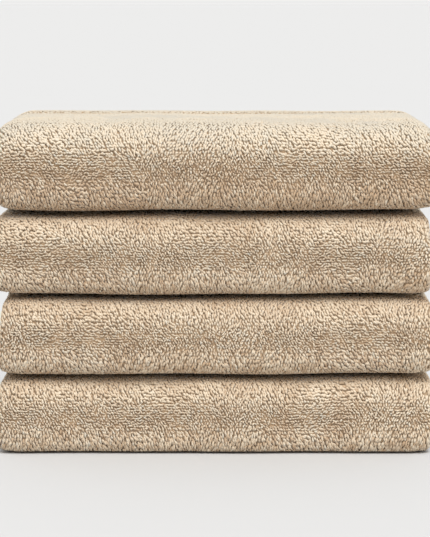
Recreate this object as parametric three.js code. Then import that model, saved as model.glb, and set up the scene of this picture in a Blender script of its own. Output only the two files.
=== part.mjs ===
// A set of four identical plush terry bath towels, folded and laid in one pile.
// Millimetres, +Z up. The pile's front, where each towel shows one smooth full-height fold, faces -Y.
// The origin is the middle of the pile's footprint, on the surface that the pile stands on.
//
// How each towel is folded: both long sides are turned in to meet on the centre line, which makes a
// strip two layers thick. The strip is folded in half along its length, which makes a ribbon two strips
// thick, and the ribbon is folded in thirds like a letter. Seen from the side, the ribbon runs from the
// free ends at the back of the top panel, round the front fold, back along the bottom panel, round the
// back fold, and forward along the middle panel, where the halfway fold is tucked into the front fold.

import * as THREE from 'three';

// The towel as it is cut, laid flat.
const TOWEL_WIDTH = 700;
const TOWEL_LENGTH = 1400;

// The height each folded towel takes in the pile, from the bottom one up. Lower ones are pressed flatter.
const TOWEL_HEIGHTS = [63, 64.5, 68, 72];
// How far each towel lies from the middle of the pile, along X and Y.
const TOWEL_SHIFTS = [[0, 0], [1.5, -1], [-1.5, 1], [0, 0]];

// The gap left between faces that touch on the real towels.
const GAP = 0.3;
// The hollow left inside the front fold's corners, and in front of the tucked-in middle panel.
const TUCK_RADIUS = 2.5;
const TUCK_ROOM = 1;
// The room between the front fold and the top panel, which swings up beside it when a towel is opened.
const FLAP_ROOM = 1;
// How far the free ends stop short of the back fold.
const END_SETBACK = 5;

// The woven end of the towel, from its edge inwards: a sewn hem, a stretch of terry and a flat border.
const HEM_WIDTH = 14;
const END_TERRY_WIDTH = 26;
const BORDER_WIDTH = 38;
// A layer of the flat weave and of the turned hem, which are thinner than the terry.
const BORDER_LAYER = 3.4;
const HEM_LAYER = 4;
// The space between the two selvedges that meet on the centre line.
const SELVEDGE_GAP = 2;

// The blank care label, a loop of satin tape sewn into the lower hem.
const LABEL_WIDTH = 32;
const LABEL_THICKNESS = 0.6;
const LABEL_SIDE = 90;
const LABEL_START = 70;
const LABEL_END = 15;

// Straight pieces that stand in for a quarter turn.
const TURN_STEPS = 8;

const terryLook = { color: 0xc9b497, roughness: 0.95, metalness: 0 };
const borderLook = { color: 0xc2ab8b, roughness: 0.85, metalness: 0 };
const hemLook = { color: 0xc4ae8f, roughness: 0.85, metalness: 0 };
const labelLook = { color: 0xf0ece2, roughness: 0.5, metalness: 0 };

const set = new THREE.Group();

// Adds an arc to a list of outline points, from one angle to another in degrees, both ends included.
function turn(points, [y, z], radius, from, to) {
  const steps = Math.max(2, Math.round(TURN_STEPS * Math.abs(to - from) / 90));
  for (let i = 0; i <= steps; i += 1) {
    const angle = THREE.MathUtils.degToRad(from + (to - from) * i / steps);
    points.push(new THREE.Vector2(y + radius * Math.cos(angle), z + radius * Math.sin(angle)));
  }
}

function named(name, geometry, look) {
  const mesh = new THREE.Mesh(geometry, new THREE.MeshStandardMaterial(look));
  mesh.name = name;
  return mesh;
}

function extruded(points, depth) {
  return new THREE.ExtrudeGeometry(new THREE.Shape(points), { depth, steps: 1, bevelEnabled: false });
}

// Extrudes a side outline, in Y and Z, to a width along X, centred on X = 0.
function acrossX(points, width) {
  const geometry = extruded(points, width);
  geometry.translate(0, 0, -width / 2);
  // The outline's own x, y and depth become Y, Z and X.
  geometry.applyMatrix4(new THREE.Matrix4().set(0, 0, 1, 0, 1, 0, 0, 0, 0, 1, 0, 0, 0, 0, 0, 1));
  return geometry;
}

// The sizes of one folded towel that follow from its height.
function foldedSizes(height) {
  const top = height - GAP;
  const ribbon = (top - 2 * GAP) / 3;
  const strip = (ribbon - GAP) / 2;
  const layer = (strip - GAP) / 2;
  const frontRadius = ribbon + TUCK_RADIUS;
  const backRadius = ribbon + GAP / 2;
  const frontFlat = top - 2 * frontRadius;

  // The strip's width: the cloth goes once across, round both sides, and back to the centre line.
  const width = (TOWEL_WIDTH - SELVEDGE_GAP - Math.PI * layer) / 2 + 2 * layer + GAP;

  // The footprint's depth, from the length of cloth that the turns and the six runs take up.
  const half = strip / 2;
  const turns = Math.PI * (2 * (frontRadius - ribbon / 2) + 2 * (backRadius - ribbon / 2) + half)
    + 2 * frontFlat;
  const bottomLess = frontRadius + backRadius;
  const topLess = frontRadius + END_SETBACK;
  const middleLess = backRadius + frontRadius - TUCK_RADIUS + TUCK_ROOM + ribbon / 2;
  const depth = (TOWEL_LENGTH - turns + 2 * (bottomLess + topLess + middleLess)) / 6;

  return {
    top, ribbon, strip, layer, frontRadius, backRadius, width, depth,
    front: frontRadius - depth / 2,
    back: depth / 2 - backRadius,
    ends: depth / 2 - END_SETBACK,
    nose: frontRadius - depth / 2 - TUCK_RADIUS + TUCK_ROOM + ribbon / 2,
  };
}

// The full-height fold at the front, from the top panel round to the bottom one. The nose of the middle
// panel is tucked into it.
function frontFold(s) {
  const points = [];
  const upperCorner = s.top - s.frontRadius;
  turn(points, [s.front, upperCorner], s.frontRadius, 90, 180);
  turn(points, [s.front, s.frontRadius], s.frontRadius, 180, 270);
  turn(points, [s.front, s.frontRadius], TUCK_RADIUS, 270, 180);
  turn(points, [s.front, upperCorner], TUCK_RADIUS, 180, 90);
  return acrossX(points, s.width);
}

// The bottom panel, the back fold, and the middle panel forward to its rounded nose.
function lowerFolds(s) {
  const points = [new THREE.Vector2(s.front + GAP, 0)];
  turn(points, [s.back, s.backRadius], s.backRadius, -90, 90);
  turn(points, [s.nose, s.top / 2], s.ribbon / 2, 90, 270);
  turn(points, [s.back, s.backRadius], GAP / 2, 90, -90);
  points.push(new THREE.Vector2(s.front + GAP, s.ribbon));
  return acrossX(points, s.width);
}

// The ribbon's top panel, from the front fold's shoulder to the borders.
function topPanel(s) {
  const from = s.front + FLAP_ROOM;
  const to = s.ends - HEM_WIDTH - END_TERRY_WIDTH - BORDER_WIDTH - GAP;
  const low = s.top - s.ribbon;
  const points = [[from, low], [to, low], [to, s.top], [from, s.top]];
  return acrossX(points.map(([y, z]) => new THREE.Vector2(y, z)), s.width);
}

// A stretch of one strip near its free end: cloth that goes once across and has both sides turned in.
// The turned-in sides lie below the layer that goes across, or above it when turnedUp is true.
function turnedInStretch(s, layer, from, to, middle, turnedUp) {
  const outer = layer + GAP / 2;
  const side = s.width / 2 - s.layer - GAP / 2;
  const slit = SELVEDGE_GAP / 2;
  const points = [];
  turn(points, [side, 0], outer, -90, 90);
  turn(points, [-side, 0], outer, 90, 270);
  points.push(new THREE.Vector2(-slit, -outer), new THREE.Vector2(-slit, -GAP / 2));
  turn(points, [-side, 0], GAP / 2, 270, 90);
  turn(points, [side, 0], GAP / 2, 90, -90);
  points.push(new THREE.Vector2(slit, -GAP / 2), new THREE.Vector2(slit, -outer));
  const geometry = extruded(points, to - from);
  // The outline's own x, y and depth become X, Z and -Y, or X, -Z and Y.
  geometry.rotateX(turnedUp ? -Math.PI / 2 : Math.PI / 2);
  geometry.translate(0, turnedUp ? from : to, middle);
  return geometry;
}

// The label comes out under the lower hem and lies over the shoulder of the back fold.
function careLabel(s) {
  const inner = s.backRadius + GAP;
  const points = [];
  turn(points, [s.back, s.backRadius], inner, LABEL_START, LABEL_END);
  turn(points, [s.back, s.backRadius], inner + LABEL_THICKNESS, LABEL_END, LABEL_START);
  const geometry = acrossX(points.reverse(), LABEL_WIDTH);
  geometry.translate(LABEL_SIDE, 0, 0);
  return geometry;
}

function foldedTowel(name, height) {
  const s = foldedSizes(height);
  const towel = new THREE.Group();
  towel.add(named(`${name}_front_fold`, frontFold(s), terryLook));
  towel.add(named(`${name}_lower_folds`, lowerFolds(s), terryLook));
  towel.add(named(`${name}_top_panel`, topPanel(s), terryLook));

  const hemFrom = s.ends - HEM_WIDTH;
  const terryFrom = hemFrom - END_TERRY_WIDTH;
  const borderFrom = terryFrom - BORDER_WIDTH;
  for (const end of ['upper', 'lower']) {
    const isLower = end === 'lower';
    const middle = isLower ? s.top - s.ribbon + s.strip / 2 : s.top - s.strip / 2;
    const stretch = (layer, from, to) => turnedInStretch(s, layer, from, to, middle, isLower);
    towel.add(named(`${name}_${end}_border`, stretch(BORDER_LAYER, borderFrom, terryFrom), borderLook));
    towel.add(named(`${name}_${end}_end_terry`, stretch(s.layer, terryFrom + GAP, hemFrom), terryLook));
    towel.add(named(`${name}_${end}_hem`, stretch(HEM_LAYER, hemFrom + GAP, s.ends), hemLook));
  }
  towel.add(named(`${name}_care_label`, careLabel(s), labelLook));
  return towel;
}

let level = 0;
TOWEL_HEIGHTS.forEach((height, index) => {
  const towel = foldedTowel(`towel_${index + 1}`, height);
  const [shiftX, shiftY] = TOWEL_SHIFTS[index];
  towel.position.set(shiftX, shiftY, level);
  set.add(towel);
  level += height;
});

export default set;
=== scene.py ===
import math

import bmesh
import bpy
import numpy as np
from mathutils import Matrix, Vector


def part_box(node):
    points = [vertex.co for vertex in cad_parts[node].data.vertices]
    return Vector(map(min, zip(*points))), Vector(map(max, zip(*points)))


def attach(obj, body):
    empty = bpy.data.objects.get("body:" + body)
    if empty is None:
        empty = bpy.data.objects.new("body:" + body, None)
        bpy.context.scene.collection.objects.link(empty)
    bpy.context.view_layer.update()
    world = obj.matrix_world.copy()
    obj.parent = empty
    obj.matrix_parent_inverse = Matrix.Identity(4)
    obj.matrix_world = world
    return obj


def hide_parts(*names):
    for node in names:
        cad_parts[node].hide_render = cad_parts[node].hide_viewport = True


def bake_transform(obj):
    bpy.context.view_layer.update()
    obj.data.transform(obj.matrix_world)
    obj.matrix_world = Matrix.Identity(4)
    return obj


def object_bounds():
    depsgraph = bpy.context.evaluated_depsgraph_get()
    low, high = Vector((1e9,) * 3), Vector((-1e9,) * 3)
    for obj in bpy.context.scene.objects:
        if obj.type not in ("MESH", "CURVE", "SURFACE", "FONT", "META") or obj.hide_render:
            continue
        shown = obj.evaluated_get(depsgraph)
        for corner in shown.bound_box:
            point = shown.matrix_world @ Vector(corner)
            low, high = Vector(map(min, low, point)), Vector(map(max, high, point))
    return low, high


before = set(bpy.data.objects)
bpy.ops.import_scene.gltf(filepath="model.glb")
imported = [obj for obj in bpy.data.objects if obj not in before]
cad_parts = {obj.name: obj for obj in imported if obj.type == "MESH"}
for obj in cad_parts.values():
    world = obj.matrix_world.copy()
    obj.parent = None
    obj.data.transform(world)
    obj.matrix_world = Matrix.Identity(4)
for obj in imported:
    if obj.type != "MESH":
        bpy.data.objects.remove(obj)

cad_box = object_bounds()
MM = 0.001

# The camera stands square in front of the pile and a little above it, far off, with a long lens. It
# looks a little down, so the upper face of the top towel shows as a thin strip.
FRAME_WIDE, FRAME_HIGH = 430, 537
SENSOR = 36.0
CAMERA_AWAY = 2.2
CAMERA_ABOVE_TOP = 0.098
FOCAL_LENGTH = 184.0
LOOK_DOWN = math.radians(5.545)
NEAREST, FARTHEST = 0.05, 1000.0

pile_low, pile_high = cad_box
camera_data = bpy.data.cameras.new("camera")
camera_data.sensor_fit = "VERTICAL"
camera_data.sensor_height = SENSOR
camera_data.sensor_width = SENSOR * FRAME_WIDE / FRAME_HIGH
camera_data.lens = FOCAL_LENGTH
camera_data.clip_start = NEAREST
camera_data.clip_end = FARTHEST
camera = bpy.data.objects.new("camera", camera_data)
bpy.context.scene.collection.objects.link(camera)
camera.location = (0, pile_low.y - CAMERA_AWAY, pile_high.z + CAMERA_ABOVE_TOP)
camera.rotation_euler = (math.pi / 2 - LOOK_DOWN, 0, 0)
bpy.context.scene.camera = camera
bpy.context.scene.view_settings.view_transform = "Standard"

# The stage: one wide, pale, matt floor under the pile. It runs out to the horizon, so it makes the
# backdrop as well.
FLOOR_REACH = 400.0
STAGE_COLOUR = (0.57, 0.57, 0.569)
STAGE_ROUGHNESS = 0.9
STAGE_GLOSS = 0.1


def stage_material():
    material = bpy.data.materials.new("pale_stage")
    material.use_nodes = True
    shader = material.node_tree.nodes["Principled BSDF"]
    shader.inputs["Base Color"].default_value = (*STAGE_COLOUR, 1)
    shader.inputs["Roughness"].default_value = STAGE_ROUGHNESS
    shader.inputs["Specular IOR Level"].default_value = STAGE_GLOSS
    return material


def linked(name, mesh, material):
    """A new object of one material, in the scene."""
    mesh.materials.append(material)
    made = bpy.data.objects.new(name, mesh)
    bpy.context.scene.collection.objects.link(made)
    return made


def made_from(bm, name, material):
    """A new object from a finished bmesh, which is freed."""
    mesh = bpy.data.meshes.new(name)
    bm.to_mesh(mesh)
    bm.free()
    return linked(name, mesh, material)


bm = bmesh.new()
bmesh.ops.create_grid(bm, x_segments=1, y_segments=1, size=FLOOR_REACH)
made_from(bm, "floor", stage_material())

# Soft studio light: a bright, nearly white room all round, and one very wide soft lamp high above the
# pile and a little in front of it.
ROOM_COLOUR = (1.0, 0.995, 0.985)
ROOM_LIGHT = 0.86
LAMP_LIGHT = 2.4
LAMP_WIDTH = math.radians(38)
LAMP_FROM = Vector((0.16, -0.56, 0.82))

world = bpy.data.worlds.new("studio")
world.use_nodes = True
world.node_tree.nodes["Background"].inputs["Color"].default_value = (*ROOM_COLOUR, 1)
world.node_tree.nodes["Background"].inputs["Strength"].default_value = ROOM_LIGHT
bpy.context.scene.world = world
lamp_data = bpy.data.lights.new("soft_lamp", "SUN")
lamp_data.energy = LAMP_LIGHT
lamp_data.angle = LAMP_WIDTH
lamp = bpy.data.objects.new("soft_lamp", lamp_data)
lamp.rotation_euler = (-LAMP_FROM).to_track_quat("-Z", "Y").to_euler()
bpy.context.scene.collection.objects.link(lamp)

# The terry cloth of each towel: one sheet, 70 by 140 cm. Both long sides are turned in to meet on the
# centre line, the doubled strip is folded in half, and the ribbon of two strips is folded in thirds.
# Every part of a towel is made on the flat sheet, in millimetres, and then folded with it.
TOWELS = ("towel_1", "towel_2", "towel_3", "towel_4")
TOWEL_WIDTH = 700.0
TOWEL_LENGTH = 1400.0
LAYERS = 12
TUCK_RADIUS = 2.5
NOSE_ROOM = 1
END_SETBACK = 5.0
HEM_WIDTH = 14.0
END_TERRY_WIDTH = 26.0
BORDER_WIDTH = 38.0
GROUND_THICKNESS = 3.6
BEND_STEPS = 24

# How a folded towel lies in the pile, in millimetres and shares of its height. A layer without loops is
# thinner, the sides and the back edge sink in, and the front fold is plump and bellies out.
HEM_LAYER = 4.0
BORDER_LAYER = 4.2
THINNING_INSIDE = 1
THINNING_OUTSIDE = 4
THINNING_PAST_BORDER = 5
SIDE_TURN_EASE = 60
SIDE_SLIP = 1.6
SIDE_SLIP_LENGTH = 170
SIDE_SLIP_SEED = 40
SIDES_APART = 400
FACE_WAVE = 0.7
TOP_WAVE = 0.45
FACE_WAVE_LENGTH = 130
FACE_SEED = 20
TOP_CROWN = 3.3
CROWN_EDGE = 14
SIDE_REACH = 18
BACK_REACH = 34
FRONT_REACH = 60
FRONT_FULL_REACH = 20
EDGE_SPILL = 2
SIDE_SINKING = 0.05
BACK_SINKING = 0.03
FRONT_SINKING = 0.05
FRONT_BELLY = 1.8
FRONT_WAVE = 1.3
FRONT_WAVE_LENGTH = 120
FRONT_SEED = 60
BACK_WAVE = 0.9
BACK_WAVE_LENGTH = 140
BACK_SEED = 70
CORNER_REACH = 22
CORNER_ROUNDING = 0.022
PRESSED_HEIGHT = 2.0
PRESSED_SHARE = 0.5
UPPER_FULLNESS = 2.5
TOP_ONE_FULLNESS = 2.05
LOWER_FULLNESS = 3.8
FLOOR_FULLNESS = 4.8
WAVE_LENGTHS = (0.75, 1.5)


def ripple(seed, x, y, length, waves=5):
    """Smooth random waves over a surface, about as long as length, mostly between -1 and 1."""
    draw = np.random.default_rng(seed)
    turned = draw.uniform(0, 2 * math.pi, waves)
    phase = draw.uniform(0, 2 * math.pi, waves)
    pitch = 2 * math.pi / (length * draw.uniform(*WAVE_LENGTHS, waves))
    total = sum(
        np.sin(k * (np.cos(a) * x + np.sin(a) * y) + p) for a, p, k in zip(turned, phase, pitch)
    )
    return total / math.sqrt(waves)


def eased(value, start, end):
    """0 before start, 1 after end, and a smooth rise between."""
    share = np.clip((value - start) / (end - start), 0, 1)
    return share * share * (3 - 2 * share)


def face_wave(level, x, y):
    """The height of the wavy face between two towels. The floor under the pile is flat."""
    height = TOP_WAVE if level == len(TOWELS) else FACE_WAVE
    return (level > 0) * height * ripple(FACE_SEED + level, x, y, FACE_WAVE_LENGTH)


class Towel:
    """One folded towel's sizes and the route of its doubled strip, all in millimetres."""

    def __init__(self, index):
        self.name = TOWELS[index]
        self.index = index
        self.on_floor = index == 0
        self.on_top = index == len(TOWELS) - 1
        boxes = [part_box(self.name + part) for part in ("_front_fold", "_lower_folds")]
        low = np.min([box[0] for box in boxes], axis=0) / MM
        high = np.max([box[1] for box in boxes], axis=0) / MM
        self.middle = (low + high) / 2
        self.low = low[2]
        self.top = high[2] - low[2]
        self.layer = self.top / LAYERS
        self.width = high[0] - low[0]
        self.depth = high[1] - low[1]
        self.radius = 4 * self.layer + TUCK_RADIUS
        self.front = self.radius - self.depth / 2
        self.back = self.depth / 2 - 4 * self.layer
        self.flat_half = self.width / 2 - self.layer
        self.turn_length = math.pi * self.layer / 2
        self.make_route()

    def make_route(self):
        """The strip's middle line in Y and Z, from the upper hem round to the lower one.

        The strip is two layers of cloth thick, so its middle lies at odd numbers of layers.
        """
        t, r, top, front, back = self.layer, self.radius, self.top, self.front, self.back
        nose = front - TUCK_RADIUS + NOSE_ROOM + 2 * t
        ends = self.depth / 2 - END_SETBACK
        self.points, self.marks = [], {}
        self.run((ends, top - t), (front, top - t))
        self.mark("front_top")
        self.bend((front, top - r), r - t, 90, 180)
        self.bend((front, r), r - t, 180, 270)
        self.mark("front_bottom")
        self.run((front, t), (back, t))
        self.mark("back_bottom")
        self.bend((back, 4 * t), 3 * t, -90, 90)
        self.mark("back_top")
        self.run((back, 7 * t), (nose, 7 * t))
        self.mark("nose")
        self.bend((nose, 6 * t), t, 90, 270)
        self.run((nose, 5 * t), (back, 5 * t))
        self.bend((back, 4 * t), t, 90, -90)
        self.run((back, 3 * t), (front, 3 * t))
        self.mark("inner_bottom")
        self.bend((front, r), r - 3 * t, 270, 180)
        self.bend((front, top - r), r - 3 * t, 180, 90)
        self.mark("inner_top")
        self.run((front, top - 3 * t), (ends, top - 3 * t))
        route = np.array(self.points)
        steps = np.linalg.norm(np.diff(route, axis=0), axis=1)
        keep = np.concatenate([[True], steps > 1e-6])
        length = np.concatenate([[0], np.cumsum(steps)])
        stretch = TOWEL_LENGTH / length[-1]
        self.marks = {name: length[at] * stretch for name, at in self.marks.items()}
        self.route, self.length = route[keep], length[keep] * stretch
        ahead = np.gradient(self.route, self.length, axis=0)
        self.ahead = ahead / np.linalg.norm(ahead, axis=1, keepdims=True)

    def run(self, start, end, step=2.0):
        count = max(2, int(math.dist(start, end) / step))
        share = np.linspace(0, 1, count)[:, None]
        self.points += list(np.array(start) * (1 - share) + np.array(end) * share)

    def bend(self, centre, radius, start, end, count=BEND_STEPS):
        angle = np.radians(np.linspace(start, end, count))
        turned = np.stack([np.cos(angle), np.sin(angle)], 1)
        self.points += list(np.array(centre) + radius * turned)

    def mark(self, name):
        self.marks[name] = len(self.points) - 1

    def at(self, along):
        """The route's Y and Z at these lengths, and the way its outer face looks there."""
        y, z = (np.interp(along, self.length, self.route[:, i]) for i in (0, 1))
        ay, az = (np.interp(along, self.length, self.ahead[:, i]) for i in (0, 1))
        size = np.hypot(ay, az)
        return y, z, az / size, -ay / size

    def folded(self, across, along, above):
        """Where points of the flat towel lie when it is folded. above is their height over its middle."""
        pitch = self.layer_at(along)
        y, z, out_y, out_z = self.at(along)
        side = np.sign(across)
        reach = np.abs(across)
        turn = np.clip((reach - self.flat_half) / self.turn_length, 0, 1) * math.pi
        past = np.maximum(reach - self.flat_half - self.turn_length, 0)
        radius = pitch / 2 + above
        x = np.minimum(reach, self.flat_half) + radius * np.sin(turn) - past
        out = radius * np.cos(turn)
        slip = self.side_slip(along, side) * eased(reach, self.flat_half - SIDE_TURN_EASE, self.flat_half)
        x = side * (x + slip)
        return self.settled(x, y + out * out_y, z + out * out_z)

    def from_outside(self, side):
        """The place across the flat towel of a place on the folded strip's outer side, round its turns."""
        reach = np.abs(side)
        return np.sign(side) * (reach - np.maximum(reach - self.flat_half, 0) / 2)

    def layer_at(self, along):
        """How thick a layer of cloth lies: the flat border and the hem are thinner than the terry."""
        reach = np.minimum(along, TOWEL_LENGTH - along)
        inside, outside = THINNING_INSIDE, THINNING_OUTSIDE
        hem, border = HEM_WIDTH, HEM_WIDTH + END_TERRY_WIDTH
        border_end = border + BORDER_WIDTH
        looped = eased(reach, hem - inside, hem + outside)
        looped -= eased(reach, border - outside, border + inside)
        looped += eased(reach, border_end - inside, border_end + THINNING_PAST_BORDER)
        thin = np.where(reach < hem + outside / 2, HEM_LAYER, BORDER_LAYER)
        return thin + (self.layer - thin) * np.clip(looped, 0, 1)

    def side_slip(self, along, side):
        """The turned-in sides don't lie quite above each other."""
        seed = SIDE_SLIP_SEED + self.index
        return SIDE_SLIP * ripple(seed, along, side * SIDES_APART, SIDE_SLIP_LENGTH)

    def filled_out(self, y, z):
        """The front fold is plump: its two corners are fuller than quarter rounds."""
        dy = np.minimum(y - self.front, 0)
        centre = np.clip(z, self.radius, self.top - self.radius)
        dz = z - centre
        size = np.maximum(np.hypot(dy, dz), 1e-9)
        upper = TOP_ONE_FULLNESS if self.on_top else UPPER_FULLNESS
        lower = FLOOR_FULLNESS if self.on_floor else LOWER_FULLNESS
        fullness = np.where(dz > 0, upper, lower)
        reach = np.abs(dy) ** fullness + np.abs(dz) ** fullness + 1e-12
        fuller = size / reach ** (1 / fullness)
        fuller = np.where(dy < 0, fuller, 1)
        return y + dy * (fuller - 1), centre + dz * fuller

    def settled(self, x, y, z):
        """The folded towel sinks into the pile: soft ends, wavy faces, and a front that bellies out."""
        y, z = self.filled_out(y, z)
        share = z / self.top
        half_width, half_depth = self.width / 2, self.depth / 2
        side_edge = eased(np.abs(x), half_width - SIDE_REACH, half_width + EDGE_SPILL)
        back_edge = eased(y, half_depth - BACK_REACH, half_depth + EDGE_SPILL)
        front_edge = eased(-y, half_depth - FRONT_REACH, half_depth - FRONT_FULL_REACH)
        if self.on_floor:
            front_edge = front_edge * (share > 0.5)
        sinking = SIDE_SINKING * side_edge + BACK_SINKING * back_edge + FRONT_SINKING * front_edge
        z = self.top * (0.5 + (share - 0.5) * (1 - sinking))
        lower_face, upper_face = (face_wave(self.index + i, x, y) for i in (0, 1))
        if self.on_top:
            past_crown = eased(np.abs(x), half_width - CROWN_EDGE, half_width + EDGE_SPILL)
            upper_face = upper_face + TOP_CROWN * (1 - past_crown)
        z = z + lower_face + (upper_face - lower_face) * share
        if self.on_floor:
            z = np.maximum(z, PRESSED_HEIGHT + (z - PRESSED_HEIGHT) * PRESSED_SHARE)
        belly = FRONT_BELLY * np.clip(4 * share * (1 - share), 0, 1)
        belly = belly + FRONT_WAVE * ripple(FRONT_SEED + self.index, x, 0.5 * z, FRONT_WAVE_LENGTH)
        y = y - belly * eased(-y, half_depth - FRONT_REACH, half_depth)
        back_wave = BACK_WAVE * ripple(BACK_SEED + self.index, x, 0.5 * z, BACK_WAVE_LENGTH)
        y = y + back_wave * eased(y, half_depth - FRONT_REACH, half_depth)
        corner = eased(np.abs(x), half_width - CORNER_REACH, half_width + 2 * EDGE_SPILL)
        y = y * (1 - CORNER_ROUNDING * corner)
        return np.stack([x + self.middle[0], y + self.middle[1], z + self.low], -1) * MM


towels = [Towel(i) for i in range(len(TOWELS))]


def spaced(stops, steps):
    """Places along a line: each stretch between two stops is split evenly into its own number of steps."""
    parts = [np.linspace(a, b, n, endpoint=False) for a, b, n in zip(stops[:-1], stops[1:], steps)]
    return np.concatenate([*parts, [stops[-1]]])


def places_across(towel, coarse=12.0, turn_steps=6):
    """Grid lines across the towel, close together where its sides turn in."""
    half = TOWEL_WIDTH / 2
    a, b = towel.flat_half, towel.flat_half + towel.turn_length
    run, side = round(2 * a / coarse), round((half - b) / coarse)
    return spaced([-half, -b, -a, a, b, half], [side, turn_steps, run, turn_steps, side])


def places_along(towel, start, end, coarse=14.0, fine=3.8):
    """Grid lines along the towel, close together where the route bends."""
    m = towel.marks
    t = towel.layer
    bends = [(m["front_top"], m["front_bottom"]), (m["back_bottom"], m["back_top"]),
             (m["nose"], m["nose"] + math.pi * t), (m["inner_bottom"], m["inner_top"])]
    run = m["inner_bottom"] - (m["nose"] + math.pi * t)
    middle = m["nose"] + math.pi * t + run / 2
    bends.append((middle - 3 * t, middle + 3 * t))
    stops = {start, end}
    for a, b in bends:
        stops |= {min(max(x, start), end) for x in (a, b)}
    stops = sorted(stops)
    steps = []
    for a, b in zip(stops[:-1], stops[1:]):
        bent = any(low - 1e-6 <= (a + b) / 2 <= high + 1e-6 for low, high in bends)
        steps.append(max(1, round((b - a) / (fine if bent else coarse))))
    return spaced(stops, steps)


def place_and_map(bm, places, map_places):
    """Moves a flat grid's points to their places in the pile, and gives its faces their own flat map."""
    for vert, place in zip(bm.verts, places):
        vert.co = place
    weave = bm.loops.layers.uv.new("weave")
    for face in bm.faces:
        face.smooth = True
        for corner in face.loops:
            corner[weave].uv = map_places[corner.vert.index]


def thicken(piece, thickness):
    solid = piece.modifiers.new("thickness", "SOLIDIFY")
    solid.thickness = thickness * MM
    solid.offset = 0


def cloth(name, towel, start, end, thickness, material, step=None, relief=None):
    """A stretch of the towel's cloth between two lengths: a flat grid, folded, and given its thickness."""
    across = places_across(towel)
    if step is None:
        along = places_along(towel, start, end)
    else:
        along = spaced([start, end], [round((end - start) / step)])
    bm = bmesh.new()
    bmesh.ops.create_grid(bm, x_segments=len(across) - 1, y_segments=len(along) - 1, size=1)
    flat = np.array([v.co for v in bm.verts])
    u = np.interp(flat[:, 0], np.linspace(-1, 1, len(across)), across)
    v = np.interp(flat[:, 1], np.linspace(-1, 1, len(along)), along)
    above = np.zeros(len(u)) if relief is None else relief(u, v)
    map_places = np.stack([u / TOWEL_WIDTH + 0.5, v / TOWEL_LENGTH], -1)
    place_and_map(bm, towel.folded(u, v, above), map_places)
    made = made_from(bm, name, material)
    thicken(made, thickness)
    return made


class Finish:
    """A fabric finish: its shader, and short ways to add the nodes that give it colour and relief."""

    SHEEN_ROUGHNESS = 0.3

    def __init__(self, name, roughness, sheen=0.0, specular=0.15, sheen_colour=(1.0, 0.92, 0.82)):
        self.material = bpy.data.materials.new(name)
        self.material.use_nodes = True
        self.nodes = self.material.node_tree.nodes
        self.links = self.material.node_tree.links
        self.shader = self.nodes["Principled BSDF"]
        self.shader.inputs["Roughness"].default_value = roughness
        self.shader.inputs["Specular IOR Level"].default_value = specular
        self.shader.inputs["Sheen Weight"].default_value = sheen
        self.shader.inputs["Sheen Roughness"].default_value = self.SHEEN_ROUGHNESS
        self.shader.inputs["Sheen Tint"].default_value = (*sheen_colour, 1)

    def add(self, kind, **sockets):
        """Adds a node. A socket given a node takes its first output, and any other value is set on it."""
        node = self.nodes.new(kind)
        for name, value in sockets.items():
            self.feed(node.inputs[name.replace("_", " ")], value)
        return node

    def feed(self, socket, value):
        if isinstance(value, bpy.types.Node):
            value = value.outputs[0]
        if isinstance(value, bpy.types.NodeSocket):
            self.links.new(value, socket)
        else:
            socket.default_value = value

    def math(self, operation, a, b):
        node = self.nodes.new("ShaderNodeMath")
        node.operation = operation
        self.feed(node.inputs[0], a)
        self.feed(node.inputs[1], b)
        return node.outputs[0]

    def ramp(self, value, *stops):
        node = self.add("ShaderNodeValToRGB", Fac=value)
        ramp = node.color_ramp
        while len(ramp.elements) < len(stops):
            ramp.elements.new(0.5)
        for element, (place, colour) in zip(ramp.elements, stops):
            element.position = place
            element.color = (*colour, 1)
        return node.outputs[0]

    def noise(self, scale, detail=2.0):
        place = self.nodes.new("ShaderNodeTexCoord").outputs["Object"]
        return self.add("ShaderNodeTexNoise", Vector=place, Scale=scale, Detail=detail).outputs[0]

    def map_places(self, name):
        """The two directions of a piece's own flat map."""
        uv = self.nodes.new("ShaderNodeUVMap")
        uv.uv_map = name
        split = self.add("ShaderNodeSeparateXYZ", Vector=uv)
        return split.outputs[0], split.outputs[1]

    def bump(self, height, distance):
        node = self.add("ShaderNodeBump", Height=height, Distance=distance, Strength=1.0)
        self.links.new(node.outputs[0], self.shader.inputs["Normal"])

    def colour(self, socket):
        self.feed(self.shader.inputs["Base Color"], socket)


TERRY_START = HEM_WIDTH + END_TERRY_WIDTH + BORDER_WIDTH
TERRY_END = TOWEL_LENGTH - TERRY_START
FLAP = "towel_4_flap"

# The ground shows only between the loops, where shade falls, so its colour is darkened with painted shade
# and is darker than theirs.
GROUND_SHADE_COLOURS = (0.3, (0.36, 0.25, 0.155)), (0.7, (0.44, 0.315, 0.20))
GROUND_PATCHES = 90
GROUND_GRAIN = 1400
GROUND_GRAIN_HEIGHT = 0.0006

ground = Finish("terry_ground", 0.95, specular=0.0)
ground.colour(ground.ramp(ground.noise(GROUND_PATCHES), *GROUND_SHADE_COLOURS))
ground.bump(ground.noise(GROUND_GRAIN), GROUND_GRAIN_HEIGHT)


def with_flap(piece):
    """The top towel's upper panel opens about its front fold; this only bakes a piece's placing into its
    mesh, and attaches and bends nothing.
    """
    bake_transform(piece)


def body_of_end(towel):
    """The body that this towel's woven ends, hems and label move with."""
    return FLAP if towel.on_top else towel.name


def terry(name, towel, start, end):
    """A stretch of the ground between two lengths."""
    made = cloth(name, towel, start, end, GROUND_THICKNESS, ground.material)
    return made


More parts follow.
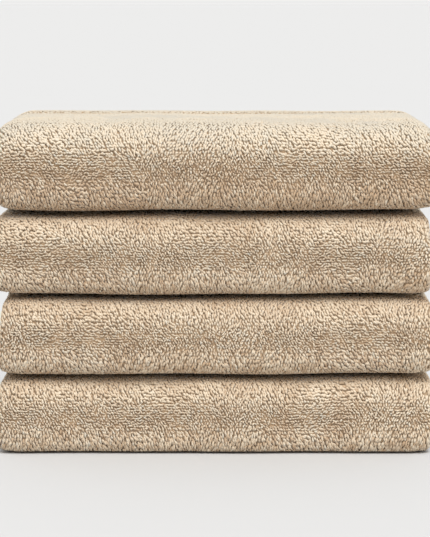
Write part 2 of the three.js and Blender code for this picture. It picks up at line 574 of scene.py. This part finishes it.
for towel in towels:
    folded_nodes = [towel.name + "_front_fold", towel.name + "_lower_folds"]
    panel_node = towel.name + "_top_panel"
    if towel.on_top:
        under_front, under_inner = towel.marks["front_bottom"], towel.marks["inner_bottom"]
        upper = terry(towel.name + "_upper_cloth", towel, TERRY_START, under_front)
        base = terry(towel.name + "_base_cloth", towel, under_front, under_inner)
        lower = terry(towel.name + "_lower_cloth", towel, under_inner, TERRY_END)
        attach(base, towel.name)
        with_flap(upper)
        with_flap(lower)
        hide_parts(*folded_nodes)
        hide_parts(panel_node)
    else:
        whole = terry(towel.name + "_cloth", towel, TERRY_START, TERRY_END)
        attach(whole, towel.name)
        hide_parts(*folded_nodes, panel_node)

# Near each end of a towel the loops stop and the ground is woven flat: a band of raised cords, which is
# the towel's only ornament. It is thinner than the terry, so it lies in a shallow channel.
BORDER_THICKNESS = 2.8
CORD_HEIGHT = 0.5
CORD_HALF_WIDTH = 0.85
CORD_PLACES = (3.0, 5.2, 12.0, 14.0, 16.0, 18.0, 20.0, 22.0, 24.0, 26.0, 32.8, 35.0)
BORDER_STEP = 0.6
WARP_PITCH = 0.9
WEFT_PITCH = 0.8
YARN_HEIGHT = 0.0002
BORDER_PATCHES = 160
FLAT_WEAVE_COLOURS = (0.25, (0.63, 0.54, 0.42)), (0.75, (0.73, 0.645, 0.52))


def yarns(finish, warps, wefts):
    """The fine relief of a flat weave: this many warp and weft yarns over the piece's flat map."""
    across, along = finish.map_places("weave")
    warp = finish.math("SINE", finish.math("MULTIPLY", across, 2 * math.pi * warps), 0.0)
    weft = finish.math("SINE", finish.math("MULTIPLY", along, 2 * math.pi * wefts), 0.0)
    finish.bump(finish.math("MULTIPLY", warp, weft), YARN_HEIGHT)


border_finish = Finish("border_weave", 0.8, sheen=0.3)
border_finish.colour(border_finish.ramp(border_finish.noise(BORDER_PATCHES, 3.0), *FLAT_WEAVE_COLOURS))
yarns(border_finish, TOWEL_WIDTH / WARP_PITCH, TOWEL_LENGTH / WEFT_PITCH)


def end_band(name, towel, end, start, width, thickness, material, step, relief=None):
    """A band of cloth across the towel at one end. start is how far it begins from the towel's edge."""
    if end == "upper":
        start, stop = start, start + width
    else:
        start, stop = TOWEL_LENGTH - start - width, TOWEL_LENGTH - start
    return cloth(name, towel, start, stop, thickness, material, step=step, relief=relief)


def cord_relief(across, along):
    """How high the border's cords stand."""
    reach = np.minimum(along, TOWEL_LENGTH - along) - HEM_WIDTH - END_TERRY_WIDTH
    total = np.zeros(len(along))
    for place in CORD_PLACES:
        near = np.clip(1 - np.abs(reach - place) / CORD_HALF_WIDTH, 0, 1)
        total = np.maximum(total, CORD_HEIGHT * np.sin(near * math.pi / 2))
    return total


woven_ends = {}
for towel in towels:
    for end in ("upper", "lower"):
        name = f"{towel.name}_{end}_border_band"
        border = end_band(name, towel, end, HEM_WIDTH + END_TERRY_WIDTH, BORDER_WIDTH, BORDER_THICKNESS,
                          border_finish.material, BORDER_STEP, cord_relief)
        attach(border, body_of_end(towel))
        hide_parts(f"{towel.name}_{end}_border")
        woven_ends[towel.name, end] = [border]

# Between the border and the hem is a last narrow stretch of terry. It is woven in one with the rest, as
# thick as the ground elsewhere, and its loops are made with the others.
END_TERRY_STEP = 4.0

for towel in towels:
    for end in ("upper", "lower"):
        last_terry = end_band(f"{towel.name}_{end}_end_cloth", towel, end, HEM_WIDTH, END_TERRY_WIDTH,
                              GROUND_THICKNESS, ground.material, END_TERRY_STEP)
        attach(last_terry, body_of_end(towel))
        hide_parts(f"{towel.name}_{end}_end_terry")
        woven_ends[towel.name, end].append(last_terry)

# The hem: the flat-woven end is turned over twice and sewn down, which makes a firm rounded edge with a
# dent along its seam.
HEM_THICKNESS = 3.7
SEAM_FROM_EDGE = 10.6
SEAM_DENT = 0.8
SEAM_DENT_WIDTH = 1.3
HEM_SECTION_STEPS = 28
HEM_SQUARENESS = 0.62
HEM_GRID = 8.0
WEFTS_ROUND_HEM = 40
HEM_PATCHES = 220

hem_finish = Finish("hem_weave", 0.82, sheen=0.15)
hem_finish.colour(hem_finish.ramp(hem_finish.noise(HEM_PATCHES, 3.0), *FLAT_WEAVE_COLOURS))
yarns(hem_finish, TOWEL_WIDTH / WARP_PITCH, WEFTS_ROUND_HEM)


def hem_half_thickness(from_edge):
    dent = SEAM_DENT * np.exp(-(((from_edge - SEAM_FROM_EDGE) / SEAM_DENT_WIDTH) ** 2))
    return HEM_THICKNESS / 2 - dent


def from_end(from_edge, end):
    """The length along the towel of a place this far from the edge of one end."""
    return from_edge if end == "upper" else TOWEL_LENGTH - from_edge


def hem(name, towel, end):
    """A hem: its section is a rounded oblong with the seam's dent, closed across the towel's width."""
    across = places_across(towel, HEM_GRID)
    bm = bmesh.new()
    bmesh.ops.create_grid(bm, x_segments=len(across) - 1, y_segments=HEM_SECTION_STEPS, size=1)
    flat = np.array([v.co for v in bm.verts])
    u = np.interp(flat[:, 0], np.linspace(-1, 1, len(across)), across)
    angle = math.pi * flat[:, 1]
    cosine, sine = np.cos(angle), np.sin(angle)
    from_edge = HEM_WIDTH / 2 * (1 - np.sign(cosine) * np.abs(cosine) ** HEM_SQUARENESS)
    above = hem_half_thickness(from_edge) * np.sign(sine) * np.abs(sine) ** HEM_SQUARENESS
    map_places = np.stack([u / TOWEL_WIDTH + 0.5, flat[:, 1] / 2 + 0.5], -1)
    place_and_map(bm, towel.folded(u, from_end(from_edge, end), above), map_places)
    bmesh.ops.remove_doubles(bm, verts=bm.verts, dist=1e-7)
    bmesh.ops.holes_fill(bm, edges=[e for e in bm.edges if e.is_boundary], sides=0)
    bmesh.ops.recalc_face_normals(bm, faces=bm.faces)
    return made_from(bm, name, hem_finish.material)


for towel in towels:
    for end in ("upper", "lower"):
        edge = hem(f"{towel.name}_{end}_hem_edge", towel, end)
        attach(edge, body_of_end(towel))
        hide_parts(f"{towel.name}_{end}_hem")
        woven_ends[towel.name, end].append(edge)

# The hem's seam: a row of lock stitches in matching thread, sewn through the hem and pulled a little into
# the cloth. It shows on the outer side and stops where the side turns in.
STITCH_LENGTH = 3.1
STITCH_PITCH = 4.0
STITCH_THICKNESS = 0.75
STITCH_ARCH = 0.3
STITCH_SUNK = 0.1
SEAM_TURN_SHARE = 0.8
WORM_FULLNESS = 0.35
THREAD_PATCHES = 300
THREAD_COLOURS = (0.3, (0.66, 0.57, 0.44)), (0.7, (0.76, 0.68, 0.55))

thread_finish = Finish("seam_thread", 0.6, sheen=0.2, specular=0.3)
thread_finish.colour(thread_finish.ramp(thread_finish.noise(THREAD_PATCHES), *THREAD_COLOURS))


def many(name, shape, faces, flat_places, towel, tint_and_height, material):
    """Copies of one small shape, each vertex of each copy given on the flat towel, folded with it."""
    across, along, above = (part.reshape(-1) for part in flat_places)
    places = towel.folded(across, along, above)
    copies = len(places) // len(shape)
    corners = np.concatenate([np.array(face) for face in faces])
    sizes = np.array([len(face) for face in faces])
    offset = np.arange(copies)[:, None] * len(shape)
    mesh = bpy.data.meshes.new(name)
    mesh.vertices.add(len(places))
    mesh.vertices.foreach_set("co", places.reshape(-1))
    mesh.loops.add(copies * len(corners))
    vertex = (corners[None] + offset).reshape(-1)
    mesh.loops.foreach_set("vertex_index", vertex.astype(np.int32))
    mesh.polygons.add(copies * len(faces))
    first = np.concatenate([[0], np.cumsum(sizes)[:-1]])
    starts = first[None] + np.arange(copies)[:, None] * len(corners)
    mesh.polygons.foreach_set("loop_start", starts.reshape(-1).astype(np.int32))
    mesh.polygons.foreach_set("use_smooth", np.ones(copies * len(faces), bool))
    mesh.update(calc_edges=True)
    if tint_and_height is not None:
        layer = mesh.uv_layers.new(name="OFBake")
        map_places = tint_and_height.reshape(-1, 2)[vertex]
        layer.uv.foreach_set("vector", map_places.astype(np.float32).reshape(-1))
    return linked(name, mesh, material)


def worm(rings):
    """A small closed worm, 1 long in X and 1 wide and high, with its poles at its two ends."""
    bm = bmesh.new()
    bmesh.ops.create_uvsphere(bm, u_segments=3, v_segments=rings, radius=0.5)
    bmesh.ops.rotate(bm, verts=bm.verts, cent=(0, 0, 0), matrix=Matrix.Rotation(-math.pi / 2, 3, "Y"))
    bm.verts.ensure_lookup_table()
    shape = np.array([v.co for v in bm.verts])
    faces = [[v.index for v in face.verts] for face in bm.faces]
    bm.free()
    girth = np.maximum(np.hypot(shape[:, 1], shape[:, 2]) / 0.5, 1e-6)
    shape[:, 1:] *= (girth ** -WORM_FULLNESS)[:, None]
    return shape, faces


stitch_shape, stitch_faces = worm(4)
for towel in towels:
    for end in ("upper", "lower"):
        count = int(TOWEL_WIDTH / STITCH_PITCH)
        middle = (np.arange(count) + 0.5) * STITCH_PITCH - TOWEL_WIDTH / 2
        middle = middle[np.abs(middle) < towel.flat_half + towel.turn_length * SEAM_TURN_SHARE]
        x = middle[:, None] + stitch_shape[None, :, 0] * STITCH_LENGTH
        y = np.full(x.shape, SEAM_FROM_EDGE) + stitch_shape[None, :, 1] * STITCH_THICKNESS
        arch = STITCH_ARCH * (1 - (2 * stitch_shape[None, :, 0]) ** 2)
        z = hem_half_thickness(y) + STITCH_THICKNESS * stitch_shape[None, :, 2] + arch - STITCH_SUNK
        seam = many(f"{towel.name}_{end}_hem_seam", stitch_shape, stitch_faces, (x, from_end(y, end), z),
                    towel, None, thread_finish.material)
        bm = bmesh.new()
        bm.from_mesh(seam.data)
        bmesh.ops.recalc_face_normals(bm, faces=bm.faces)
        bm.to_mesh(seam.data)
        bm.free()
        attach(seam, body_of_end(towel))
        woven_ends[towel.name, end].append(seam)

# The care label: a blank loop of satin tape. Its two ends are sewn into the lower hem, and it hangs out
# behind the pile over the shoulder of the back fold.
TAPE_WIDTH = 32.0
TAPE_SIDE = 90.0
TAPE_THICKNESS = 0.28
TAPE_LOOP_GAP = 0.5
TAPE_PILE_ROOM = 2.2
TAPE_SEWN_IN = 6.0
TAPE_OUT_OF_HEM = (1.5, 0)
TAPE_FIRST_DROP = (3.2, -5)
TAPE_SHOULDER = (34, 20, 6)
TAPE_STEP = 0.8
TAPE_EASINGS = 8
TAPE_COLUMNS = 8
TAPE_WARP = 0.35
TAPE_WARP_TURN = 2.4
TAPE_NOSE_STEPS = 9
TAPE_RIBS = 90
TAPE_RIB_HEIGHT = 0.00005
TAPE_PATCHES = 500
TAPE_COLOURS = (0.3, (0.80, 0.78, 0.72)), (0.7, (0.86, 0.84, 0.79))

tape_finish = Finish("label_tape", 0.45, specular=0.4)
tape_finish.colour(tape_finish.ramp(tape_finish.noise(TAPE_PATCHES), *TAPE_COLOURS))
tape_along = tape_finish.map_places("weave")[1]
tape_ribs = tape_finish.math("SINE", tape_finish.math("MULTIPLY", tape_along, 2 * math.pi * TAPE_RIBS), 0.0)
tape_finish.bump(tape_ribs, TAPE_RIB_HEIGHT)


def smooth_line(points, step, rounds):
    """A line through a few points, filled in at an even step and eased at its corners."""
    points = np.array(points, float)
    length = np.concatenate([[0], np.cumsum(np.linalg.norm(np.diff(points, axis=0), axis=1))])
    at = np.linspace(0, length[-1], round(length[-1] / step) + 1)
    line = np.stack([np.interp(at, length, points[:, i]) for i in (0, 1)], 1)
    for _ in range(rounds):
        line[1:-1] = (line[:-2] + 2 * line[1:-1] + line[2:]) / 4
    return line


def tape_route(towel):
    """The tape's line in Y and Z: out of the hem, over the shoulder of the back fold, and back in."""
    hem_z = towel.top - 3 * towel.layer - HEM_LAYER / 2
    ends = towel.depth / 2 - END_SETBACK
    over = 4 * towel.layer + TAPE_PILE_ROOM
    shoulder = [(towel.back + over * math.cos(a), 4 * towel.layer + over * math.sin(a))
                for a in np.radians(TAPE_SHOULDER)]
    hanging = [(ends + y, hem_z + z) for y, z in ((-TAPE_SEWN_IN, 0), TAPE_OUT_OF_HEM, TAPE_FIRST_DROP)]
    hanging += shoulder
    line = smooth_line(hanging, TAPE_STEP, TAPE_EASINGS)
    ahead = np.gradient(line, axis=0)
    ahead /= np.linalg.norm(ahead, axis=1, keepdims=True)
    aside = np.stack([-ahead[:, 1], ahead[:, 0]], 1)
    turn = np.radians(np.linspace(90, -90, TAPE_NOSE_STEPS))[1:-1, None]
    nose = line[-1] + TAPE_LOOP_GAP / 2 * (np.cos(turn) * ahead[-1] + np.sin(turn) * aside[-1])
    outward = line + aside * TAPE_LOOP_GAP / 2
    inward = line - aside * TAPE_LOOP_GAP / 2
    return np.concatenate([outward, nose, inward[::-1]])


for towel in towels:
    route = tape_route(towel)
    bm = bmesh.new()
    bmesh.ops.create_grid(bm, x_segments=TAPE_COLUMNS, y_segments=len(route) - 1, size=1)
    flat = np.array([v.co for v in bm.verts])
    share = (flat[:, 1] + 1) / 2
    y, z = (np.interp(share, np.linspace(0, 1, len(route)), route[:, i]) for i in (0, 1))
    x = TAPE_SIDE + flat[:, 0] * TAPE_WIDTH / 2
    hangs_free = 1 - np.abs(2 * share - 1)
    y = y + TAPE_WARP * hangs_free * np.sin(TAPE_WARP_TURN * flat[:, 0] + towel.index)
    places = np.stack([x + towel.middle[0], y + towel.middle[1], z + towel.low], 1) * MM
    place_and_map(bm, places, np.stack([flat[:, 0] / 2 + 0.5, share], -1))
    tape = made_from(bm, towel.name + "_label", tape_finish.material)
    thicken(tape, TAPE_THICKNESS)
    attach(tape, body_of_end(towel))
    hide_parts(towel.name + "_care_label")
    woven_ends[towel.name, "lower"].append(tape)

# The pile: uncut loops of soft twisted cotton, thousands on each face. Each loop is a small arched worm
# with both feet in the ground, and neighbours lie over in the same way, as washing and folding left them.
CLOSE_PITCH = 2.15
TOP_PITCH = 2.35
BACK_PITCH = 2.6
SIDE_PITCH = 2.9
WIDE_PITCH = 4.4
GROWTH = 0.7
OUT_OF_LINE = 0.3
SIDE_TURN_SHARE = 0.84
PILE_SEED = 1000
PAST_CORNER = 12
PAST_FRONT_BOTTOM = 10
PAST_BACK_BOTTOM = 8

# How the pile changes round the front fold. Each pair is where a change starts and ends, as a share of the
# way down the front: 0 is where the top panel ends and 1 is where the underside starts.
SHOULDER_COMBED = (0.12, 0.55)
EDGE_COMBED = (0.5, 0.85)
EDGE_TURNED = (0.5, 0.8)
# Where painted shade darkens the front's lower edge.
EDGE_SHADED = (0.35, 0.75)
UNDERSIDE = (1.0, 1.4)
UNDERSIDE_TURNED = (1.0, 1.2)
# Where the top panel's painted light turns into the shoulder's (painted light on the top towel, painted
# shade on the others), and where that fades out down the front.
PANEL_TO_SHOULDER = (-0.6, -0.1)
SHOULDER_TO_FRONT = (0.0, 0.5)
UNDERSIDE_RAISED = 0.6

# A standing loop is short and tight. A combed one, where the fold has stroked the pile flat, lies longer,
# wider and lower. Lengths are in millimetres and turns in radians.
STANDING = {"length": 3.4, "width": 1.763, "thickness": 2.2, "rise": 1.0, "sink": 1.2, "lean": 1.6,
            "uneven": 1.1, "wander": 1.0, "turned": 0.44}
COMBED = {"length": 4.59, "width": 2.8905, "thickness": 1.24, "rise": 0.55, "sink": 0.36, "lean": 0.4,
          "uneven": 0.15, "wander": 0.6, "turned": 0.286}
LENGTHS = (0.7, 1.2)
WIDTHS = (0.85, 1.15)
THICKNESSES = (0.85, 1.1)
RINGS, WIDE_RINGS = 4, 3
LEANS = (-0.4, 1.0)
LOOP_BEND = 0.5
BEND_MIDDLE = 0.3
FOOT_DEPTH = 0.8
PATCHY_RISE = 0.2
RISE_PATCH_LENGTH = 22
RISE_SEED = 95
LOOSE_RISE = 0.38
WIDE_RISE_SHARE = 0.75
WOVEN_EDGE_DROP = 0.9
WOVEN_EDGE_REACH = 9
LIE = 0.75
UPPER_TURN = 0.5
LOWER_TURN = 0.65
LOWER_COMBING = 0.9

# The drifts of the pile, each with its size in radians, its length in millimetres and its first seed.
DRIFTS = (0.65, 110, 80), (0.4, 28, 90)

# Each loop's tint goes from warm and dark at 0 to pale and cool at 1. Painted light makes the pile palest on
# the top panel.
TINT = 0.46
# Painted light: the top panel's pile is paler, where it is lit from above and seen at a grazing angle.
PANEL_PAINTED_LIGHT = 0.42
# Painted shade: the lower towels' shoulders are darker, under the towel above.
SHOULDER_PAINTED_SHADE = -0.28
# Painted shade: the front's lower edge is darker, the top towel's most.
TOP_ONE_EDGE_SHADE = 0.36
LOWER_EDGE_SHADE = 0.16
PATCHY_TINT = 0.06
TINT_PATCH_LENGTH = 45
TINT_SEED = 99
LOOSE_TINT = 0.17
COMBED_EVENNESS = 0.6
# Combed loops get less painted shade between them: this much is added to their height.
COMBED_SHADE_LIFT = 0.1
TINT_LIMITS = (0.02, 0.92)
TINT_ALONG_LOOP = 0.02
MAP_MARGIN = 0.02
LOOP_SHEEN = (0.96, 0.97, 0.96)
TINT_COLOURS = (0.0, (0.59, 0.465, 0.34)), (0.5, (0.84, 0.77, 0.65)), (1.0, (0.69, 0.685, 0.63))
# Painted shade between the loops: the tint is multiplied by a ramp over each loop's height, which darkens it
# towards its feet.
ROOT_SHADE_COLOURS = (0.0, (0.50, 0.345, 0.225)), (0.5, (0.86, 0.77, 0.67)), (1.0, (1.0, 1.0, 1.0))

loop_finish = Finish("terry_loops", 0.9, sheen=0.3, specular=0.0, sheen_colour=LOOP_SHEEN)
tint_place, height_place = loop_finish.map_places("OFBake")
# The tint times the painted shade from the loop's height.
root_shaded = loop_finish.nodes.new("ShaderNodeMix")
root_shaded.data_type = "RGBA"
root_shaded.blend_type = "MULTIPLY"
root_shaded.inputs["Factor"].default_value = 1.0
loop_finish.feed(root_shaded.inputs[6], loop_finish.ramp(tint_place, *TINT_COLOURS))
loop_finish.feed(root_shaded.inputs[7], loop_finish.ramp(height_place, *ROOT_SHADE_COLOURS))
loop_finish.colour(root_shaded.outputs[2])


def scattered(draw, patch):
    """The loops' places in one patch of the pile: rows a pitch apart, each loop a little out of line."""
    (side_from, side_to), (start, end), pitch = patch
    columns = max(1, round((side_to - side_from) / pitch))
    rows = max(1, round((end - start) / pitch))
    column, row = np.meshgrid(np.arange(columns), np.arange(rows), indexing="ij")
    column = column + 0.25 + 0.5 * (row % 2) + draw.uniform(-OUT_OF_LINE, OUT_OF_LINE, row.shape)
    row = row + 0.5 + draw.uniform(-OUT_OF_LINE, OUT_OF_LINE, row.shape)
    side = side_from + (side_to - side_from) * column / columns
    along = start + (end - start) * row / rows
    return side.reshape(-1), along.reshape(-1), np.full(side.size, (pitch / CLOSE_PITCH) ** GROWTH)


def combing(down):
    """How flat the loops are combed on the shoulder and top panel, at the front's lower edge, and in all."""
    upper = 1 - eased(down, *SHOULDER_COMBED)
    lower = eased(down, *EDGE_COMBED) * (1 - UNDERSIDE_RAISED * eased(down, *UNDERSIDE))
    return upper, lower, upper + LOWER_COMBING * lower


def loop_size(part, combed):
    return STANDING[part] + (COMBED[part] - STANDING[part]) * combed


def way_to_lie(draw, towel, side, along, down):
    """The way each loop points on the flat towel: neighbours drift together, each a little turned."""
    upper, _, combed = combing(down)
    wander = sum(
        size * ripple(first_seed + towel.index, side, along, length) for size, length, first_seed in DRIFTS
    )
    lie = LIE + UPPER_TURN * upper + wander * loop_size("wander", combed)
    lie = lie + LOWER_TURN * eased(down, *EDGE_TURNED) * (1 - eased(down, *UNDERSIDE_TURNED))
    return lie + draw.normal(0, 1, len(side)) * loop_size("turned", combed)


def rise_drop(along):
    """How much lower the loops stand beside the flat weaves, so that they end in a soft edge."""
    border_reach = np.minimum(np.abs(along - TERRY_START), np.abs(TERRY_END - along))
    reach = np.minimum(np.abs(along - HEM_WIDTH - END_TERRY_WIDTH), border_reach)
    return WOVEN_EDGE_DROP * (1 - eased(reach, 0, WOVEN_EDGE_REACH))


def loop_tint(draw, towel, side, along, down):
    """Each loop's tint: painted shade at the front's lower edge and on the lower towels' shoulders, painted
    light on the top panel, and a little patchy.
    """
    # Painted light on the top panel and the top towel's shoulder, painted shade on the other towels'
    # shoulders and on the front's lower edge.
    shoulder = PANEL_PAINTED_LIGHT if towel.on_top else SHOULDER_PAINTED_SHADE
    edge_shade = TOP_ONE_EDGE_SHADE if towel.on_top else LOWER_EDGE_SHADE
    light_and_shade = shoulder + (PANEL_PAINTED_LIGHT - shoulder) * (1 - eased(down, *PANEL_TO_SHOULDER))
    tint = TINT + PATCHY_TINT * ripple(TINT_SEED + towel.index, side, along, TINT_PATCH_LENGTH)
    tint = tint - edge_shade * eased(down, *EDGE_SHADED) * (1 - eased(down, *UNDERSIDE))
    tint = tint + light_and_shade * (1 - eased(down, *SHOULDER_TO_FRONT))
    tint = tint + draw.normal(0, LOOSE_TINT, len(down)) * (1 - COMBED_EVENNESS * combing(down)[0])
    return np.clip(tint, *TINT_LIMITS)


def loops(name, towel, patches, seed):
    """A piece of pile: every loop in these patches of one towel."""
    draw = np.random.default_rng(seed)
    found = [scattered(draw, patch) for patch in patches]
    side, along, growth = (np.concatenate(part) for part in zip(*found))
    wide = min(pitch for _, _, pitch in patches) >= WIDE_PITCH
    shape, faces = worm(WIDE_RINGS if wide else RINGS)
    count = len(side)
    fold_top, fold_bottom = towel.marks["front_top"], towel.marks["front_bottom"]
    down = (along - fold_top) / (fold_bottom - fold_top)
    upper, lower, combed = combing(down)

    lie = way_to_lie(draw, towel, side, along, down)
    length = loop_size("length", combed) * growth * draw.uniform(*LENGTHS, count)
    width = loop_size("width", combed) * growth * draw.uniform(*WIDTHS, count)
    thickness = loop_size("thickness", combed) * draw.uniform(*THICKNESSES, count)
    patchy = PATCHY_RISE * ripple(RISE_SEED + towel.index, side, along, RISE_PATCH_LENGTH)
    uneven = patchy + draw.normal(0, LOOSE_RISE, count)
    rise = loop_size("rise", combed) + uneven * loop_size("uneven", combed)
    rise = rise * (WIDE_RISE_SHARE if wide else 1.0) - rise_drop(along)
    bend = draw.normal(0, LOOP_BEND, count)
    lean = loop_size("lean", combed) * draw.uniform(*LEANS, count)

    x, y, z = (shape[None, :, i] for i in range(3))
    from_middle = (2 * x) ** 2
    across = y * width[:, None] + bend[:, None] * (from_middle - BEND_MIDDLE)
    up = z * thickness[:, None] + rise[:, None] + lean[:, None] * x
    up = up - loop_size("sink", combed)[:, None] * from_middle
    ahead = x * length[:, None]
    cosine, sine = np.cos(lie)[:, None], np.sin(lie)[:, None]
    side = side[:, None] + cosine * ahead - sine * across
    along = along[:, None] + sine * ahead + cosine * across

    tint = loop_tint(draw, towel, side[:, 0], along[:, 0], down)[:, None] + TINT_ALONG_LOOP * (x + 0.5)
    # A loop's height, from its feet to its crest, sets its painted shade between the loops; combed loops get
    # less of it.
    height = np.clip((up - up.min(1, keepdims=True)) / (FOOT_DEPTH + thickness[:, None]), 0, 1)
    height = np.clip(height + COMBED_SHADE_LIFT * (upper + lower)[:, None], 0, 1)
    map_places = np.stack([tint + 0 * height, MAP_MARGIN + (1 - 2 * MAP_MARGIN) * height], -1)
    flat_places = (towel.from_outside(side), along, GROUND_THICKNESS / 2 + up)
    return many(name, shape, faces, flat_places, towel, map_places, loop_finish.material)


def pile_patches(towel):
    """Where a towel's loops stand, by piece: its name, its patches, and whether it opens with the flap."""
    m, w = towel.marks, towel.flat_half
    whole = (-w, w)
    outer = SIDE_TURN_SHARE * math.pi * towel.layer
    sides = ((-w - outer, -w), (w, w + outer))
    top_pitch = TOP_PITCH if towel.on_top else WIDE_PITCH
    shoulder, under = m["front_top"] - PAST_CORNER, m["front_bottom"] + PAST_FRONT_BOTTOM
    heel, crown = m["back_bottom"] - PAST_BACK_BOTTOM, m["back_top"] + PAST_CORNER
    upper_end = (HEM_WIDTH, HEM_WIDTH + END_TERRY_WIDTH)
    lower_end = (TOWEL_LENGTH - upper_end[1], TOWEL_LENGTH - upper_end[0])
    pieces = [
        ("top", [(whole, (TERRY_START, shoulder), top_pitch)], True),
        ("front", [(whole, (shoulder, m["front_bottom"]), CLOSE_PITCH)], True),
        ("under_front", [(whole, (m["front_bottom"], under), CLOSE_PITCH)], False),
        ("bottom", [(whole, (under, heel), WIDE_PITCH)], False),
        ("back", [(whole, (heel, crown), BACK_PITCH)], False),
        ("upper_sides", [(s, (TERRY_START, m["front_bottom"]), SIDE_PITCH) for s in sides], True),
        ("base_sides", [(s, (m["front_bottom"], m["inner_bottom"]), SIDE_PITCH) for s in sides], False),
        ("lower_sides", [(s, (m["inner_bottom"], TERRY_END), SIDE_PITCH) for s in sides], True),
        ("upper_end", [(s, upper_end, top_pitch) for s in (sides[0], whole, sides[1])], True),
        ("lower_end_sides", [(s, lower_end, SIDE_PITCH) for s in sides], True),
    ]
    if towel.on_top:
        pieces += [
            ("middle", [(whole, (crown, m["nose"]), WIDE_PITCH)], False),
            ("lining", [(whole, (m["inner_bottom"], TERRY_END), WIDE_PITCH)], True),
            ("lower_end", [(whole, lower_end, WIDE_PITCH)], True),
        ]
    return pieces


seed = PILE_SEED
for towel in towels:
    for part, patches, opens in pile_patches(towel):
        seed += 1
        piece = loops(f"{towel.name}_pile_{part}", towel, patches, seed)
        if opens and towel.on_top:
            with_flap(piece)
        else:
            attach(piece, towel.name)
